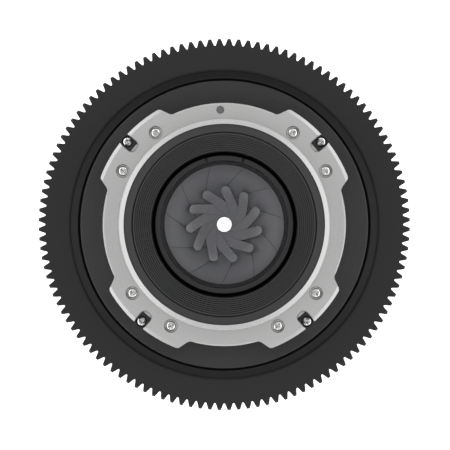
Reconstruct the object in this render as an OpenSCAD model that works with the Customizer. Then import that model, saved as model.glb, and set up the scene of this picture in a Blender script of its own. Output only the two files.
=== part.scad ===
// Cinema prime lens with a four-lug camera mount, in millimetres.
// Z is the optical axis and +Z points at the camera. z = 0 is the seat face of the mount.

/* [Camera mount] */
// Diameter of the pilot that enters the camera
pilot_d = 54; // [52:0.1:56]
// Length of the pilot behind the seat face
pilot_len = 10; // [9:0.1:12]
// Wall of the pilot
pilot_wall = 1.3; // [1.1:0.1:1.6]
// Width of the bright bevel inside the pilot's rim
pilot_bevel = 1.1; // [0.3:0.1:1.1]
// Depth of that bevel
pilot_bevel_t = 0.3; // [0.2:0.1:1]
// Diameter of the seat flange between its ears
flange_d = 62.8; // [62.4:0.1:64]
// Thickness of the seat flange and its ears
flange_t = 3.2; // [2.8:0.1:4]
// Diameter over the ears
ear_d = 68.4; // [67.6:0.1:69.6]
// Half of the angle that an ear spans at its outer edge
ear_half = 20; // [18:0.5:21]
// Angle from the side of the lens to the middle of each upper ear
ear_angle = 40.5; // [38:0.5:45]
// Angle from the side of the lens to the middle of each lower ear
ear_low_angle = 49.5; // [45:0.5:52]
// Rounding of an ear's two outer corners
ear_tip_round = 1.2; // [0.3:0.1:1.4]
// Hollow rounding where an ear's sides run into the flange
ear_root_round = 2.4; // [0.5:0.1:2.6]
// Bevel along the outer edge of the ears
ear_bevel = 0.85; // [0.4:0.05:1]
// Width of the locating notch in each ear
notch_w = 3; // [2.6:0.1:3.2]
// Distance from the axis to the bottom of a notch
notch_r = 29.8; // [29.5:0.1:30.2]
// Diameter of the neck under the seat flange
neck_d = 61.6; // [61.2:0.1:62]
// Wall of the neck
neck_wall = 5.1; // [4.9:0.1:5.4]
// Length of the neck
neck_len = 6.3; // [5.5:0.1:7]
// Thickness of the shim that sets the flange depth
shim_t = 0.2; // [0.1:0.05:0.5]
// Distance from the axis to the mount screws
mount_screw_r = 29.6; // [29.2:0.1:29.7]
// Angle from an ear's middle to each of its two screws
mount_screw_spread = 12.7; // [11:0.1:14]
// Diameter of the counterbores for the mount screws
counterbore_d = 3.5; // [3.2:0.1:3.6]
// Diameter of the dowel at the top of the flange
dowel_d = 2; // [1.5:0.1:2.4]

/* [Rear base] */
// Diameter of the black base behind the mount
base_d = 75.2; // [74.4:0.1:75.4]
// Thickness of the base
base_t = 6.3; // [6:0.1:8]
// Rounding of the base's outer edge
base_round = 0.4; // [0.3:0.1:1.6]
// Distance from the axis to the base screws
base_screw_r = 33.3; // [32.8:0.1:33.8]

/* [Rings] */
// Teeth on each of the two gear rings
gear_teeth = 120; // [118:1:121]
// Module of the gear teeth
gear_module = 0.8; // [0.79:0.005:0.81]
// Width of each gear
gear_w = 10; // [8:0.5:12]
// Bevel on the ends of the gear teeth
gear_bevel = 0.6; // [0.4:0.1:1.2]
// Diameter of the rings and of the fixed collar beside the gears
ring_d = 91; // [90:0.5:92]
// Length of the iris ring
iris_ring_len = 26; // [25:0.5:29]
// Depth of the iris ring's rear face below the base's rear face
iris_ring_setback = 4.3; // [4:0.1:5]
// Diameter of the barrel journal that the iris ring turns on
journal_d = 76; // [75.6:0.1:76.4]
// Outer diameter of the nut that keeps the iris ring on
ring_nut_d = 80.6; // [80:0.1:81]
// Thickness of the nut that keeps the iris ring on
ring_nut_t = 6; // [5.6:0.1:7]
// Length of the fixed collar between the two rings
collar_len = 15.6; // [14:0.2:18]
// Length of the focus ring
focus_ring_len = 41; // [40:0.5:46]
// Distance from the focus ring's rear face to its gear
focus_gear_back = 9; // [6:0.5:14]
// Turn of the focus ring from far to near
focus_turn = 170; // [150:1:172]
// Turn of the iris ring from closed to open
iris_turn = 60; // [56:1:62]

/* [Iris] */
// Number of iris blades
blade_count = 11; // [9:1:11]
// Radius of the hole that the closed blades leave
iris_hole_r = 1.95; // [1.8:0.05:2.6]
// Radius of a blade's hollow inner edge
blade_inner_r = 24.15; // [23:0.05:26]
// Direction from the axis to the point where a blade's inner edge is nearest
blade_near_angle = 7; // [5:0.5:9]
// Radius of the round blade tip
blade_tip_r = 1.25; // [1:0.05:1.3]
// Distance from the axis to the middle of the blade tip
blade_tip_reach = 9.1; // [8.8:0.1:9.4]
// Distance from the axis to the blade pivots
blade_pivot_r = 18.06; // [17.9:0.02:18.2]
// Distance from a blade's pivot to its drive pin
blade_arm = 7; // [6.8:0.1:7.1]
// Turn of each blade from closed to open
blade_turn = 45; // [43:1:46]
// Rise of a blade's plate for each millimetre across the axis
blade_slope = 0.12; // [0.11:0.005:0.14]
// Thickness of a blade
blade_t = 0.08; // [0.06:0.01:0.09]
// Diameter of the blade pins
blade_pin_d = 1; // [0.8:0.1:1.1]
// Outer diameter of the iris case
iris_case_d = 52; // [51.8:0.1:52.4]
// Wall of the iris case
iris_case_wall = 1.7; // [1.5:0.1:1.8]
// Thickness of the floor that holds the blade pivots
iris_floor_t = 2.4; // [2:0.1:3]
// Thickness of the cam ring that swings the blades
iris_cam_t = 2.4; // [2.2:0.1:3]
// Thickness of the cover over the cam ring
iris_cover_t = 1.4; // [1:0.1:2]
// Radius of the clear opening behind the blades
iris_clear_r = 16.4; // [16.2:0.1:16.6]

/* [Barrel and focus] */
// Diameter of the bore that the focus group slides in
guide_bore_d = 59; // [58.6:0.1:59.4]
// Wall of the guide tube
guide_wall = 3.5; // [3.3:0.1:3.7]
// Wall of the cam tube that turns round the guide tube
cam_tube_wall = 2.3; // [2:0.1:2.5]
// Length of the cam tube
cam_tube_len = 48; // [46:0.5:49]
// Travel of the focus group from far to near
focus_travel = 9; // [8:0.1:9.4]
// Length of the cell that holds the focus group
focus_cell_len = 30; // [29:0.5:31]
// Distance that the focus cell's rear end reaches into the collar at far focus
focus_cell_back = 2; // [1:0.1:3]
// Diameter of the three followers of the focus cam
follower_d = 3; // [2.6:0.1:3.2]
// Thickness of the web that the iris case rests on
barrel_web_t = 3; // [2.5:0.1:4]
// Thickness of the collar's outer shell
collar_shell_t = 4; // [3.6:0.1:4.4]

/* [Front] */
// Outer diameter of the front ring
front_d = 95; // [94:0.5:97]
// Length of the front ring
front_ring_len = 17.2; // [17:0.1:19]
// Wall of the front ring round the filter thread
filter_wall = 4.5; // [4:0.1:5]
// Length of the filter thread
filter_len = 4; // [3:0.1:4.2]
// Thickness of the front ring's web
front_web_t = 3; // [2.6:0.1:3.4]

/* [Optics] */
// Radius of the rear group's elements
rear_glass_r = 17.5; // [17.4:0.05:17.7]
// Radius of the focus group's elements
focus_glass_r = 24.5; // [24:0.1:25]
// Radius of the front element
front_glass_r = 34.5; // [33.5:0.1:35]
// Radius of the element behind the front element
inner_glass_r = 26.5; // [26:0.1:26.8]
// Edge thickness of the rearmost element
rear_edge_1 = 2.5; // [2.3:0.1:2.8]
// Edge thickness of the second element from the rear
rear_edge_2 = 5.2; // [4.8:0.1:5.4]
// Edge thickness of the element nearest to the iris
rear_edge_3 = 2.6; // [2.4:0.1:2.8]
// Length of the spacer between the rear elements
rear_spacer_len = 8; // [7.6:0.1:8.3]
// Edge thickness of the focus group's front element
focus_edge_1 = 4; // [3.6:0.1:4.4]
// Edge thickness of the focus group's middle element
focus_edge_2 = 6; // [5.6:0.1:6.4]
// Edge thickness of the focus group's rear element
focus_edge_3 = 3; // [2.6:0.1:3.4]
// Length of the spacer in the focus group
focus_spacer_len = 9.5; // [9:0.1:10]
// Edge thickness of the front element
front_edge_t = 5; // [4.8:0.1:5.2]
// Edge thickness of the element behind the front element
inner_edge_t = 3; // [2.6:0.1:3.2]
// Thickness of the cement between joined elements
cement_t = 0.02; // [0.02:0.01:0.04]

/* [Fasteners and fits] */
// Shank diameter of the small screws
screw_d = 1.6; // [1.4:0.1:1.7]
// Head diameter of the mount screws and front ring screws
screw_head_d = 2.7; // [2.5:0.1:2.9]
// Height of those heads
screw_head_t = 1.2; // [1:0.1:1.4]
// Head diameter of the base screws
base_head_d = 2.3; // [2.2:0.1:2.5]
// Diameter of the stop pins
stop_pin_d = 2; // [1.6:0.1:2.2]
// Gap round pieces that are seated in each other
seat_gap = 0.02; // [0.01:0.005:0.04]
// Radial gap of a turning or sliding fit
run_gap = 0.05; // [0.03:0.01:0.08]
// Gap between the end faces of rings that turn
ring_gap = 0.4; // [0.3:0.05:0.6]
// Radial gap round a screw's shank
screw_gap = 0.1; // [0.05:0.05:0.15]

/* [Hidden] */
$fn = 128;

// Finishes
black = "#232425";
dark = "#3a3b3d";
silver = "#c3c5c6";
steel = "#9fa2a4";
brass = "#b08d45";
white_plastic = "#d8d5cc";
rubber = "#161616";
glass = "#a9c0cc80";

eps = 0.01;
over = 1;
small_bevel = 0.4;

// Radii of the mount
pilot_r = pilot_d / 2;
bore_r = pilot_r - pilot_wall;
flange_r = flange_d / 2;
ear_r = ear_d / 2;
neck_r = neck_d / 2;
neck_bore_r = neck_r - neck_wall;
base_r = base_d / 2;
ear_root_spread = 3.7;
ear_bevel_slope = 0.35;
notch_edge = 0.2;
ear_root_run = 6;
ear_root_dip = 0.5;
ear_tip_run = 4;
ear_root_in = 2;
ear_angles = [ear_angle, 180 - ear_angle, 180 + ear_low_angle, 360 - ear_low_angle];
dowel_angle = 92;
dowel_r = dowel_d / 2;
dowel_sink = 0.6;

// Heights of the mount and the base
flange_z = -flange_t;
neck_z = flange_z - neck_len;
base_z = neck_z - shim_t;
barrel_rear_z = base_z - base_t;

// Screws. A head lies below the face around it, with some room at its side
screw_r = screw_d / 2;
screw_head_r = screw_head_d / 2;
screw_grip = 4.5;
head_room = 0.2;
head_sink = 0.5;
base_head_r = base_head_d / 2;
base_head_t = 1;
base_head_room = 0.3;
base_head_sink = 0.25;
counterbore_r = counterbore_d / 2;
counterbore_t = screw_head_t + head_sink;
front_counterbore_r = screw_head_r + head_room;
base_counterbore_r = base_head_r + base_head_room;
base_counterbore_t = base_head_t + base_head_sink;

// Rear cell and what it holds
cell_flange_r = iris_case_d / 2;
cell_flange_len = 9;
cell_neck_in = 1.7;
cell_step_t = 1.7;
cell_seat_t = 1.8;
cell_thread_t = 0.25;
cell_rim_wall = 0.8;
cell_rim_len = 1.5;
rear_nut_t = 4.3;
rear_nut_lip = 0.9;
rear_nut_slot_w = 0.6;
rear_nut_slot_t = 1.2;
rear_nut_slot_angles = [73.7, 105.5];
cell_neck_r = neck_bore_r - cell_neck_in;
cell_step_z = base_z + cell_step_t;
cell_bore_r = rear_glass_r + run_gap;
cell_thread_r = cell_bore_r + cell_thread_t;
cell_rim_r = cell_thread_r + cell_rim_wall;
cover_top_z = barrel_rear_z - cell_flange_len;
rear_seat_z = cover_top_z + cell_seat_t;
rear_cement_z = rear_seat_z + rear_edge_3;
rear_spacer_z = rear_cement_z + rear_edge_2;
rear_glass_z = rear_spacer_z + rear_spacer_len;
rear_nut_z = rear_glass_z + rear_edge_1;
rear_nut_in_r = rear_glass_r - rear_nut_lip;
cell_rim_z = rear_nut_z + cell_rim_len;

// Baffle inside the pilot, and the seal under it
baffle_set_in = 1;
baffle_rim_w = 1.95;
baffle_rim_drop = 0.8;
baffle_groove_w = 0.4;
baffle_groove_t = 1.6;
baffle_gap = 0.2;
baffle_rib_pitch = 0.5;
baffle_flat_share = 0.55;
baffle_cone_drop = 0.8;
baffle_cone_t = 6.5;
seal_d = 1.4;
seal_room = 0.1;
baffle_r = bore_r - seat_gap;
baffle_foot_r = neck_bore_r - seat_gap;
baffle_rim_z = pilot_len - baffle_set_in;
baffle_inner_r = cell_rim_r + baffle_gap;
baffle_cone_r = baffle_r - baffle_rim_w - baffle_groove_w;
baffle_cone_top_z = baffle_rim_z - baffle_cone_drop;
baffle_cone_low_z = baffle_cone_top_z - baffle_cone_t;
baffle_ribs = floor((baffle_cone_r - baffle_inner_r) / baffle_rib_pitch);
seal_room_r = cell_rim_r + seal_d + seal_room;
seal_room_t = seal_d + seal_room;

// Iris case and cam ring
iris_case_r = iris_case_d / 2;
chamber_r = iris_case_r - iris_case_wall;
cover_z = cover_top_z - iris_cover_t;
cam_top_z = cover_z - run_gap;
cam_z = cam_top_z - iris_cam_t;
cam_ledge_w = 0.6;
cam_room_r = chamber_r + cam_ledge_w;
cam_outer_r = cam_room_r - run_gap;
blade_pitch = 360 / blade_count;
blade_pin_r = blade_pin_d / 2;

// Blade outline, in the plane of the first blade with the iris closed
blade_pivot_angle = -94.8;
blade_arm_angle = 100;
blade_tip_angle = 87.8;
blade_tip_side = 24;
blade_pivot_round = 1.2;
blade_drive_round = 1;
blade_outer_r = 57;
blade_root_r = 15;
blade_root_angle = -94;
blade_shoulder_r = 15.55;
blade_shoulder_angle = -59.5;
blade_near = polar(1, blade_near_angle);
blade_inner_c = -(blade_inner_r - iris_hole_r) * blade_near;
blade_tip = polar(blade_tip_reach, blade_tip_angle);
blade_tip_in = blade_tip + polar(blade_tip_r, 180);
blade_tip_out = blade_tip + polar(blade_tip_r, blade_tip_side);
blade_root = polar(blade_root_r, blade_root_angle);
blade_shoulder = polar(blade_shoulder_r, blade_shoulder_angle);
blade_pivot = polar(blade_pivot_r, blade_pivot_angle);
blade_drive = blade_pivot + polar(blade_arm, blade_pivot_angle + blade_arm_angle);
blade_outer_c = arc_centre(blade_shoulder, blade_tip_out, blade_outer_r);
blade_outline = concat(
    arc(blade_inner_c, blade_inner_r,
        heading(blade_tip_in - blade_inner_c), heading(blade_root - blade_inner_c), 16),
    arc(blade_pivot, blade_pivot_round, 160, 270, 6),
    arc(blade_drive, blade_drive_round, 270, 340, 5),
    arc(blade_outer_c, blade_outer_r,
        heading(blade_shoulder - blade_outer_c), heading(blade_tip_out - blade_outer_c), 14),
    arc(blade_tip, blade_tip_r, blade_tip_side + 6, 174, 9)
);

// Each plate tilts about a line through the axis, so that every blade clears the next
blade_tilt_angle = -5;
blade_tilt = atan(blade_slope);
blade_rise = blade_slope * (blade_tip_reach + blade_tip_r);
blade_drop = blade_slope * (blade_pivot_r + blade_pivot_round);
blade_room = 0.5;
blade_z = cam_z - blade_room - blade_rise - blade_t;
iris_floor_z = blade_z - blade_drop - blade_t - blade_room;
iris_case_z = iris_floor_z - iris_floor_t;
rivet_t = 0.15;
iris_ledge_w = 1.2;
iris_open_r = iris_clear_r - iris_ledge_w;

// Path of a drive pin in the cam ring as the ring opens the iris
cam_steps = 14;
cam_slot_gap = 0.07;
cam_slot_half = blade_pin_r + cam_slot_gap;
cam_path = [for (i = [0:cam_steps]) drive_in_cam(i / cam_steps)];

// Iris ring, its gear and the nut that keeps it on
ring_room = 0.3;
ring_nut_proud = 0.8;
ring_nut_room = 0.1;
ring_nut_land = 0.6;
ring_nut_edge = 0.4;
ring_nut_cone = 0.9;
ring_face_bevel = 0.5;
ring_face_bevel_t = 0.18;
ring_bush_w = 6;
ring_bush_t = 0.9;
ring_bush_in = 4;
gear_root_in = 2;
tooth_tip_half = 0.15;
tooth_root_half = 0.395;
tooth_gap_half = 0.45;
tooth_root_round = 0.2;
iris_rear_z = base_z - iris_ring_setback;
iris_front_z = iris_rear_z - iris_ring_len;
ring_r = ring_d / 2;
journal_r = journal_d / 2;
ring_bore_r = journal_r + ring_room;
ring_nut_r = ring_nut_d / 2;
ring_nut_z = iris_rear_z + ring_nut_proud - ring_nut_t;
ring_bush_z = iris_front_z + ring_bush_in;
gear_root_r = gear_module * (gear_teeth - 2.5) / 2;
gear_tip_r = gear_module * (gear_teeth + 2) / 2;

// Pin that turns the cam ring with the iris ring
pin_angle = 192.5;
pin_shank_r = 1.1;
pin_tip_r = 0.6;
pin_tip_len = 1.6;
pin_step_out = 1;
pin_sink = 1;
pin_slot_gap = 0.4;
pin_slot_spare = 3;
pin_z = (cam_z + cam_top_z) / 2;
pin_step_r = iris_case_r + pin_step_out;
pin_inner_r = cam_outer_r - pin_tip_len;
pin_outer_r = ring_r - pin_sink;

// Barrel
web_step = 5.6;
case_wall = 2;
pocket_wall = 1;
collar_web_t = 3.6;
cam_tube_end_gap = 1;
cam_tube_side_gap = 0.6;
collar_rear_z = iris_front_z - ring_gap;
collar_front_z = collar_rear_z - collar_len;
collar_web_z = collar_rear_z - collar_web_t;
collar_room_r = ring_r - collar_shell_t;
web_z = iris_case_z - barrel_web_t;
web_bore_r = iris_clear_r + web_step;
case_bore_r = iris_case_r + seat_gap;
pocket_in_r = case_bore_r + case_wall;
pocket_out_r = base_screw_r - screw_r - pocket_wall;
guide_bore_r = guide_bore_d / 2;
guide_r = guide_bore_r + guide_wall;
base_screw_end_z = barrel_rear_z - screw_grip;

// Focus ring, cam tube and the key that joins them
cam_tube_room = 0.3;
cam_tube_in = 1;
focus_bush_t = 0.9;
focus_bush_w = 5;
key_w = 5;
key_len = 6;
key_floor = 0.6;
key_rise = 2.4;
key_in = 2;
key_angle = 60;
focus_rear_z = collar_front_z - ring_gap;
focus_front_z = focus_rear_z - focus_ring_len;
focus_gear_z = focus_rear_z - focus_gear_back - gear_w;
front_rear_z = focus_front_z - ring_gap;
cam_tube_in_r = guide_r + cam_tube_room;
cam_tube_r = cam_tube_in_r + cam_tube_wall;
cam_tube_front_z = focus_front_z + cam_tube_in;
cam_tube_rear_z = cam_tube_front_z + cam_tube_len;
key_in_r = cam_tube_in_r + key_floor;
key_out_r = cam_tube_r + key_rise;
key_z = cam_tube_front_z + focus_bush_w + key_in;

// Stop pins of the two rings
stop_pin_r = stop_pin_d / 2;
stop_out = 1.5;
stop_room = 0.3;
stop_spare = 2;
iris_stop_r = 40.6;
iris_stop_in = 2.6;
iris_stop_angle = 30;
focus_stop_r = 39.6;
focus_stop_in = 2;
focus_stop_angle = 300;

// Focus cell and its followers
focus_lip_w = 1.2;
focus_lip_t = 1.5;
focus_thread_t = 0.3;
focus_nut_t = 3;
follower_sink = 0.2;
follower_screw_r = 0.75;
follower_screw_floor = 1;
follower_head_r = 1.1;
follower_head_t = 0.9;
follower_slot_w = 0.35;
follower_slot_t = 0.4;
follower_angles = [90, 210, 330];
helix_steps = 24;
slot_relief = 0.15;
focus_cell_r = guide_bore_r - run_gap;
focus_cell_rear_z = collar_front_z + focus_cell_back;
focus_cell_front_z = focus_cell_rear_z - focus_cell_len;
focus_bore_r = focus_glass_r + run_gap;
focus_thread_r = focus_bore_r + focus_thread_t;
focus_seat_z = focus_cell_rear_z - focus_lip_t;
focus_cement_z = focus_seat_z - focus_edge_3;
focus_spacer_z = focus_cement_z - focus_edge_2;
focus_glass_z = focus_spacer_z - focus_spacer_len;
focus_nut_z = focus_glass_z - focus_edge_1;
follower_r = follower_d / 2;
follower_z = focus_cell_rear_z - focus_cell_len / 2;
follower_in_r = focus_cell_r + seat_gap;
follower_out_r = cam_tube_r - follower_sink;
follower_half = follower_r + run_gap;
follower_screw_end_r = focus_bore_r + follower_screw_floor;

// Front ring and front cell
front_screw_count = 6;
spigot_len = 2.5;
front_flange_in = 2;
front_bezel_sink = 0.4;
front_bezel_steps = 5;
front_seat_t = 0.7;
front_seat_w = 2;
front_lip_w = 1.2;
front_thread_t = 0.6;
front_thread_len = 2;
front_land_w = 1.3;
front_nut_t = 2.6;
inner_lip_w = 1;
inner_lip_t = 1.2;
inner_thread_t = 0.3;
inner_nut_t = 1.2;
front_r = front_d / 2;
front_z = front_rear_z - front_ring_len;
filter_r = front_r - filter_wall;
front_web_z = front_rear_z - front_web_t;
front_screw_r = (guide_bore_r + guide_r) / 2;
spigot_r = guide_bore_r - seat_gap;
spigot_end_z = front_rear_z + spigot_len;
front_flange_r = filter_r - front_flange_in;
front_bore_r = front_glass_r + run_gap;
front_thread_r = front_bore_r + front_thread_t;
front_land_r = front_thread_r + front_land_w;
front_seat_z = front_web_z - front_seat_t;
front_nut_z = front_seat_z - front_edge_t;
front_cell_z = front_nut_z - front_thread_len;
front_bezel_z = front_z + filter_len + front_bezel_sink;
inner_bore_r = inner_glass_r + run_gap;
inner_thread_r = inner_bore_r + inner_thread_t;
inner_seat_z = spigot_end_z - inner_lip_t;
inner_nut_z = inner_seat_z - inner_edge_t;

// Radii of the glass faces, positive where a face bulges and negative where it is hollow
rear_1_front = 80;
rear_1_back = 80;
rear_2_back = -70;
rear_cement = 130;
rear_3_front = -80;
focus_1_front = 70;
focus_1_back = -120;
focus_cement = 130;
focus_2_front = -150;
focus_3_back = 90;
front_1_front = 150;
front_1_back = -90;
front_2_front = 140;
front_2_back = 140;

function polar(r, a) = r * [cos(a), sin(a)];
function heading(v) = atan2(v.y, v.x);
function turned(p, a) = [p.x * cos(a) - p.y * sin(a), p.x * sin(a) + p.y * cos(a)];
function arc(c, r, a0, a1, n) = [for (i = [0:n]) c + polar(r, a0 + (a1 - a0) * i / n)];

// Centre of the arc of radius r from p to q that bulges to the right of that line
function arc_centre(p, q, r) =
    let (
        half = (q - p) / 2,
        away = sqrt(r * r - half * half)
    )
    p + half + away * turned(half, 90) / norm(half);

// Points of the rounding of corner b between its neighbours a and c
function fillet(a, b, c, r, n) =
    let(
        u = (a - b) / norm(a - b),
        v = (c - b) / norm(c - b),
        half = acos(u * v) / 2,
        centre = b + (u + v) / norm(u + v) * r / sin(half),
        from = heading(b + u * r / tan(half) - centre),
        to = heading(b + v * r / tan(half) - centre),
        turn = (to - from + 540) % 360 - 180
    )
    arc(centre, r, from, from + turn, n);

// Depth of a spherical face of radius c at the rim radius r
function sag(r, c) = abs(c) - sqrt(c * c - r * r);

// Height of a bulging face of radius c above its rim, at the smaller radius r of a seat on it
function seat_lift(glass_r, r, c) = c > 0 ? sag(glass_r, c) - sag(r, c) + seat_gap : 0;

function blade_name(k) = str("iris_blade_", k < 9 ? "0" : "", k + 1);

// Height of the first blade's plate above its middle
function plate_z(p) = blade_slope * (p.y * cos(blade_tilt_angle) - p.x * sin(blade_tilt_angle));

// Place of the first blade's drive pin in the cam ring's own frame, from closed at 0 to open at 1
function drive_in_cam(share) =
    turned(blade_pivot + turned(blade_drive - blade_pivot, -blade_turn * share), iris_turn * share);

// Direction of a path at one of its points
function path_heading(path, i) =
    heading(path[min(i + 1, len(path) - 1)] - path[max(i - 1, 0)]);

// Outline of a band of half width w along a path
function band(path, w) = concat(
    [for (i = [0:len(path) - 1]) path[i] + polar(w, path_heading(path, i) - 90)],
    [for (i = [len(path) - 1:-1:0]) path[i] + polar(w, path_heading(path, i) + 90)]
);

// Outline of one gear. Half widths of a tooth are shares of the pitch
function gear_outline() = [
    for (i = [0:gear_teeth - 1])
        for (p = [[gear_root_r, -tooth_gap_half], [gear_root_r + tooth_root_round, -tooth_root_half],
                  [gear_tip_r, -tooth_tip_half], [gear_tip_r, tooth_tip_half],
                  [gear_root_r + tooth_root_round, tooth_root_half], [gear_root_r, tooth_gap_half]])
            polar(p[0], (i + 0.5 + p[1]) * 360 / gear_teeth)
];

// Solid of revolution from a list of [radius, height] points
module turned_solid(points) {
    rotate_extrude()
        polygon(points);
}

// Part of a ring between two radii, two heights and two angles
module ring_sector(r0, r1, z0, z1, a0, a1) {
    rotate(a0)
        rotate_extrude(angle = a1 - a0)
            polygon([[r0, z0], [r1, z0], [r1, z1], [r0, z1]]);
}

module tube(r0, r1, z0, z1) {
    turned_solid([[r0, z0], [r1, z0], [r1, z1], [r0, z1]]);
}

// Ring that holds an element by the rim of a face of radius c. It reaches from z0, at the rim, to z1
module clamp_ring(inner_r, outer_r, z0, z1, glass_r, c) {
    side = sign(z1 - z0);
    turned_solid([[inner_r, z0 + side * seat_lift(glass_r, inner_r, c)], [glass_r, z0], [outer_r, z0],
                  [outer_r, z1], [inner_r, z1]]);
}

module post(r, z0, z1) {
    translate([0, 0, z0])
        cylinder(r = r, h = z1 - z0);
}

// Cylinder that points away from the axis
module radial_post(r, from_r, to_r, z) {
    translate([from_r, 0, z])
        rotate([0, 90, 0])
            cylinder(r = r, h = to_r - from_r);
}

// Screw with a cross recess, its head's top at the origin and its shank downwards
module cross_screw(head_r, head_t, length) {
    recess_w = head_r * 0.34;
    recess_l = head_r * 1.4;
    recess_t = head_t * 0.6;
    difference() {
        union() {
            post(head_r, -head_t, 0);
            post(screw_r, -length, -head_t + eps);
        }
        for (a = [0, 90])
            rotate(a)
                translate([-recess_l / 2, -recess_w / 2, -recess_t])
                    cube([recess_l, recess_w, recess_t + over]);
    }
}

// Space inside or outside one spherical face, for the lens below
module bulge_limit(c, vertex_z, side, r) {
    if (c > 0)
        translate([0, 0, vertex_z - side * c])
            sphere(r = c, $fn = 200);
    else
        translate([0, 0, vertex_z - 2 * r])
            cylinder(r = 2 * r, h = 4 * r);
}

module hollow_cut(c, edge_z, side, r) {
    if (c < 0)
        translate([0, 0, edge_z + side * (abs(c) - sag(r, c))])
            sphere(r = abs(c), $fn = 200);
}

// Glass element with its edge from z0 to z1. c0 and c1 are the front and back face radii
module lens(r, z0, z1, c0, c1) {
    low = c0 > 0 ? z0 - sag(r, c0) : z0;
    high = c1 > 0 ? z1 + sag(r, c1) : z1;
    difference() {
        intersection() {
            post(r, low, high);
            bulge_limit(c0, low, -1, r);
            bulge_limit(c1, high, 1, r);
        }
        hollow_cut(c0, z0, -1, r);
        hollow_cut(c1, z1, 1, r);
    }
}

module at_mount_screws() {
    for (a = ear_angles)
        for (s = [-1, 1])
            rotate(a + s * mount_screw_spread)
                translate([mount_screw_r, 0, 0])
                    children();
}

module at_base_screws() {
    for (a = ear_angles)
        rotate(a)
            translate([base_screw_r, 0, 0])
                children();
}

module at_front_screws() {
    for (i = [0:front_screw_count - 1])
        rotate(i * 360 / front_screw_count)
            translate([front_screw_r, 0, 0])
                children();
}

module at_dowel() {
    rotate(dowel_angle)
        translate([mount_screw_r, 0, 0])
            children();
}

// One ear, wide at its root and notched in the middle
module ear() {
    root = ear_half + ear_root_spread;
    tip = polar(ear_r, ear_half);
    foot = polar(flange_r, root);
    end = polar(flange_r - ear_root_dip, root + ear_root_run);
    side = concat(
        fillet(polar(ear_r, ear_half - ear_tip_run), tip, foot, ear_tip_round, 5),
        fillet(tip, foot, end, ear_root_round, 5),
        [end]
    );
    inside_r = neck_r - ear_root_in;
    intersection() {
        turned_solid([[inside_r, flange_z], [ear_r, flange_z], [ear_r, -ear_bevel * ear_bevel_slope],
                      [ear_r - ear_bevel, 0], [inside_r, 0]]);
        translate([0, 0, flange_z - over])
            linear_extrude(flange_t + 2 * over)
                polygon(concat(
                    [[0, 0]],
                    [for (i = [len(side) - 1:-1:0]) [side[i].x, -side[i].y]],
                    [polar(ear_r + over, ear_tip_run - ear_half), polar(2 * ear_r, 0),
                     polar(ear_r + over, ear_half - ear_tip_run)],
                    side
                ));
    }
}

module ear_notch() {
    middle = notch_r + notch_w / 2;
    translate([0, 0, flange_z]) {
        translate([middle, 0, 0])
            cylinder(d = notch_w, h = flange_t + over);
        translate([middle, -notch_w / 2, 0])
            cube([ear_r - middle + over, notch_w, flange_t + over]);
    }
    translate([middle, 0, -notch_edge])
        cylinder(d1 = notch_w, d2 = notch_w + 4 * notch_edge, h = 2 * notch_edge);
    translate([middle, 0, -notch_edge])
        rotate([90, 0, 90])
            linear_extrude(ear_r - middle + over)
                polygon([[-notch_w / 2, 0], [notch_w / 2, 0], [notch_w / 2 + 2 * notch_edge, 2 * notch_edge],
                         [-notch_w / 2 - 2 * notch_edge, 2 * notch_edge]]);
}

module mount_flange() {
    color(silver)
        difference() {
            union() {
                turned_solid([[neck_bore_r, neck_z], [neck_r, neck_z], [neck_r, flange_z],
                              [flange_r, flange_z], [flange_r, -small_bevel],
                              [flange_r - small_bevel, 0], [pilot_r, 0],
                              [pilot_r, pilot_len - small_bevel / 2],
                              [pilot_r - small_bevel / 2, pilot_len],
                              [bore_r + pilot_bevel, pilot_len], [bore_r, pilot_len - pilot_bevel_t],
                              [bore_r, flange_z], [neck_bore_r, flange_z]]);
                for (a = ear_angles)
                    rotate(a)
                        ear();
            }
            for (a = ear_angles)
                rotate(a)
                    ear_notch();
            at_mount_screws() {
                post(screw_r + screw_gap, neck_z - over, over);
                post(counterbore_r, -counterbore_t, over);
            }
            at_dowel()
                post(dowel_r + seat_gap, neck_z - over, over);
        }
}

module mount_screws() {
    color(steel)
        at_mount_screws()
            translate([0, 0, screw_head_t - counterbore_t])
                cross_screw(screw_head_r, screw_head_t, screw_head_t - counterbore_t - base_z + screw_grip);
}

module flange_shim() {
    color(brass)
        difference() {
            tube(neck_bore_r, neck_r, base_z, neck_z);
            at_mount_screws()
                post(screw_r + screw_gap, base_z - over, neck_z + over);
            at_dowel()
                post(dowel_r + seat_gap, base_z - over, neck_z + over);
        }
}

module mount_dowel() {
    color(dark)
        at_dowel()
            post(dowel_r, base_z - screw_grip, -dowel_sink);
}

module rear_base() {
    color(black)
        difference() {
            turned_solid(concat(
                [[cell_neck_r + seat_gap, barrel_rear_z], [base_r, barrel_rear_z]],
                arc([base_r - base_round, base_z - base_round], base_round, 0, 90, 6),
                [[cell_neck_r + seat_gap, base_z]]
            ));
            at_mount_screws()
                post(screw_r + seat_gap, base_z - screw_grip - small_bevel, base_z + over);
            at_dowel()
                post(dowel_r + seat_gap, base_z - screw_grip - small_bevel, base_z + over);
            at_base_screws() {
                post(screw_r + screw_gap, barrel_rear_z - over, base_z + over);
                post(base_counterbore_r, base_z - base_counterbore_t, base_z + over);
            }
        }
}

module base_screws() {
    color(steel)
        at_base_screws()
            translate([0, 0, base_z - base_counterbore_t + base_head_t])
                cross_screw(base_head_r, base_head_t, base_t - base_head_sink + screw_grip);
}

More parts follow.
